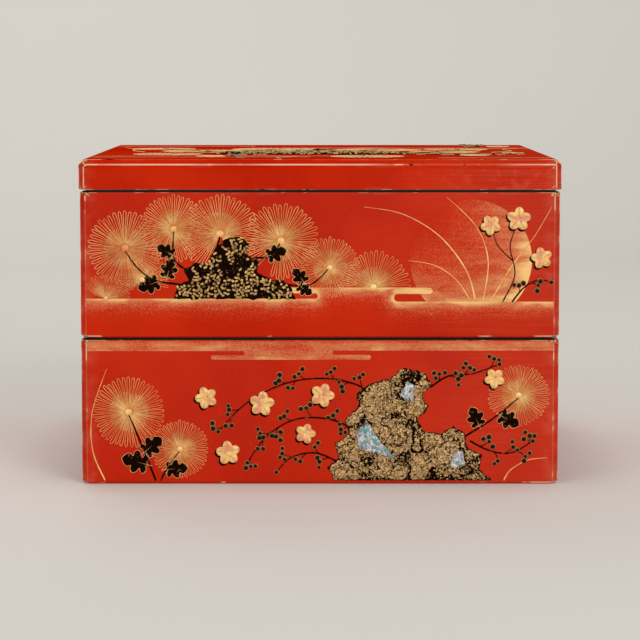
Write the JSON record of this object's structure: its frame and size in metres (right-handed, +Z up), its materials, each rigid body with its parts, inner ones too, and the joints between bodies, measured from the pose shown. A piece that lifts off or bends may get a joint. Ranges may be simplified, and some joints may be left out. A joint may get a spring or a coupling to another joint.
{
  "type": "stacking lacquer box",
  "caption": "Square stacking food box of lacquered wood: tiers with inner lips that nest in the recess above, and a flush bevelled lid that lifts off.",
  "frame": {"origin": "middle of the footprint, on the plane that the lower tier's wall feet stand on", "axes": "+Z up through the stacked tiers and the lid, -Y out of the front, +X to the right seen from the front"},
  "size_m": [0.198, 0.198, 0.1342],
  "materials": {
    "vermilion_lacquer": "polished vermilion lacquer over wood, with worn arrises and gold-powder decoration",
    "black_lacquer": "polished black lacquer over wood",
    "key_wood": "bare wood, lacquered over where it meets the outside",
    "gold_decoration": "gold powder sprinkled in wet lacquer, fine lines and low relief, dulled by age",
    "dark_relief": "black lacquer built up in low relief, with gold flakes",
    "shell_inlay": "polished shell with blue and pink sheen"
  },
  "bodies": {
    "lower_tier": {"lower_front_wall": "vermilion_lacquer", "lower_back_wall": "vermilion_lacquer", "lower_left_wall": "vermilion_lacquer", "lower_right_wall": "vermilion_lacquer", "lower_floor": "black_lacquer", "lower_cove": "black_lacquer", "lower_lip_front": "black_lacquer", "lower_lip_back": "black_lacquer", "lower_lip_left": "black_lacquer", "lower_lip_right": "black_lacquer", "lower_corner_keys": "key_wood"},
    "upper_tier": {"upper_front_wall": "vermilion_lacquer", "upper_back_wall": "vermilion_lacquer", "upper_left_wall": "vermilion_lacquer", "upper_right_wall": "vermilion_lacquer", "upper_floor": "black_lacquer", "upper_cove": "black_lacquer", "upper_lip_front": "black_lacquer", "upper_lip_back": "black_lacquer", "upper_lip_left": "black_lacquer", "upper_lip_right": "black_lacquer", "upper_corner_keys": "key_wood"},
    "lid": {"lid_panel": "vermilion_lacquer", "lid_rim_front": "vermilion_lacquer", "lid_rim_back": "vermilion_lacquer", "lid_rim_left": "vermilion_lacquer", "lid_rim_right": "vermilion_lacquer", "lid_corner_keys": "key_wood"}
  },
  "joints": [
    {"name": "upper_lift", "type": "slide", "parent": "lower_tier", "child": "upper_tier", "axis": [0, 0, 1], "range_m": [0, 0.12]},
    {"name": "lid_lift", "type": "slide", "parent": "upper_tier", "child": "lid", "axis": [0, 0, 1], "range_m": [0, 0.12]}
  ]
}
